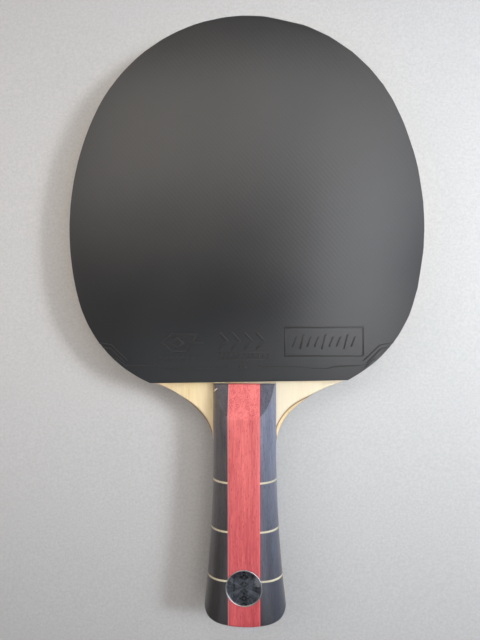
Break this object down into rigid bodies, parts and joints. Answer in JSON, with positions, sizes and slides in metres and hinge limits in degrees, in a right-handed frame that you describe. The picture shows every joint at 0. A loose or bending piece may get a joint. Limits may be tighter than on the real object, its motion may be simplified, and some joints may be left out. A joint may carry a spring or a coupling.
{
  "type": "table tennis paddle",
  "caption": "Table tennis paddle with a plywood blade, sponge-backed rubber on both faces and a flared, laminated wooden handle with a small round badge.",
  "frame": {"origin": "middle of the paddle's length and width, on the blade's mid-plane", "axes": "+Y from the butt of the handle to the head's tip, +Z out of the front (black) face, +X to the right seen from the front"},
  "size_m": [0.15, 0.256, 0.0245],
  "materials": {
    "core_ply_wood": "bare sanded edge",
    "inner_ply_wood": "bare sanded edge",
    "cross_ply_wood": "bare sanded edge",
    "face_ply_wood": "thin satin lacquer",
    "sponge": "matte open foam",
    "black_rubber": "semi-gloss",
    "red_rubber": "semi-gloss",
    "red_wood": "satin lacquer",
    "slate_wood": "satin lacquer",
    "inlay_veneer": "satin lacquer",
    "badge_metal": "polished",
    "badge_print": "printed disc",
    "badge_resin": "clear domed resin"
  },
  "bodies": {
    "root": {"core_ply": "core_ply_wood", "front_face_ply": "face_ply_wood", "front_cross_ply": "cross_ply_wood", "front_inner_ply": "inner_ply_wood", "back_face_ply": "face_ply_wood", "back_cross_ply": "cross_ply_wood", "back_inner_ply": "inner_ply_wood", "front_sponge": "sponge", "front_topsheet": "black_rubber", "back_sponge": "sponge", "back_topsheet": "red_rubber", "front_centre_strip": "red_wood", "back_centre_strip": "red_wood", "front_left_block_1": "slate_wood", "front_left_block_2": "slate_wood", "front_left_block_3": "slate_wood", "front_left_block_4": "slate_wood", "front_right_block_1": "slate_wood", "front_right_block_2": "slate_wood", "front_right_block_3": "slate_wood", "front_right_block_4": "slate_wood", "back_left_block_1": "slate_wood", "back_left_block_2": "slate_wood", "back_left_block_3": "slate_wood", "back_left_block_4": "slate_wood", "back_right_block_1": "slate_wood", "back_right_block_2": "slate_wood", "back_right_block_3": "slate_wood", "back_right_block_4": "slate_wood", "front_left_inlay_1": "inlay_veneer", "front_left_inlay_2": "inlay_veneer", "front_left_inlay_3": "inlay_veneer", "front_right_inlay_1": "inlay_veneer", "front_right_inlay_2": "inlay_veneer", "front_right_inlay_3": "inlay_veneer", "back_left_inlay_1": "inlay_veneer", "back_left_inlay_2": "inlay_veneer", "back_left_inlay_3": "inlay_veneer", "back_right_inlay_1": "inlay_veneer", "back_right_inlay_2": "inlay_veneer", "back_right_inlay_3": "inlay_veneer", "badge_cup": "badge_metal", "badge_print": "badge_print", "badge_dome": "badge_resin"}
  },
  "joints": []
}
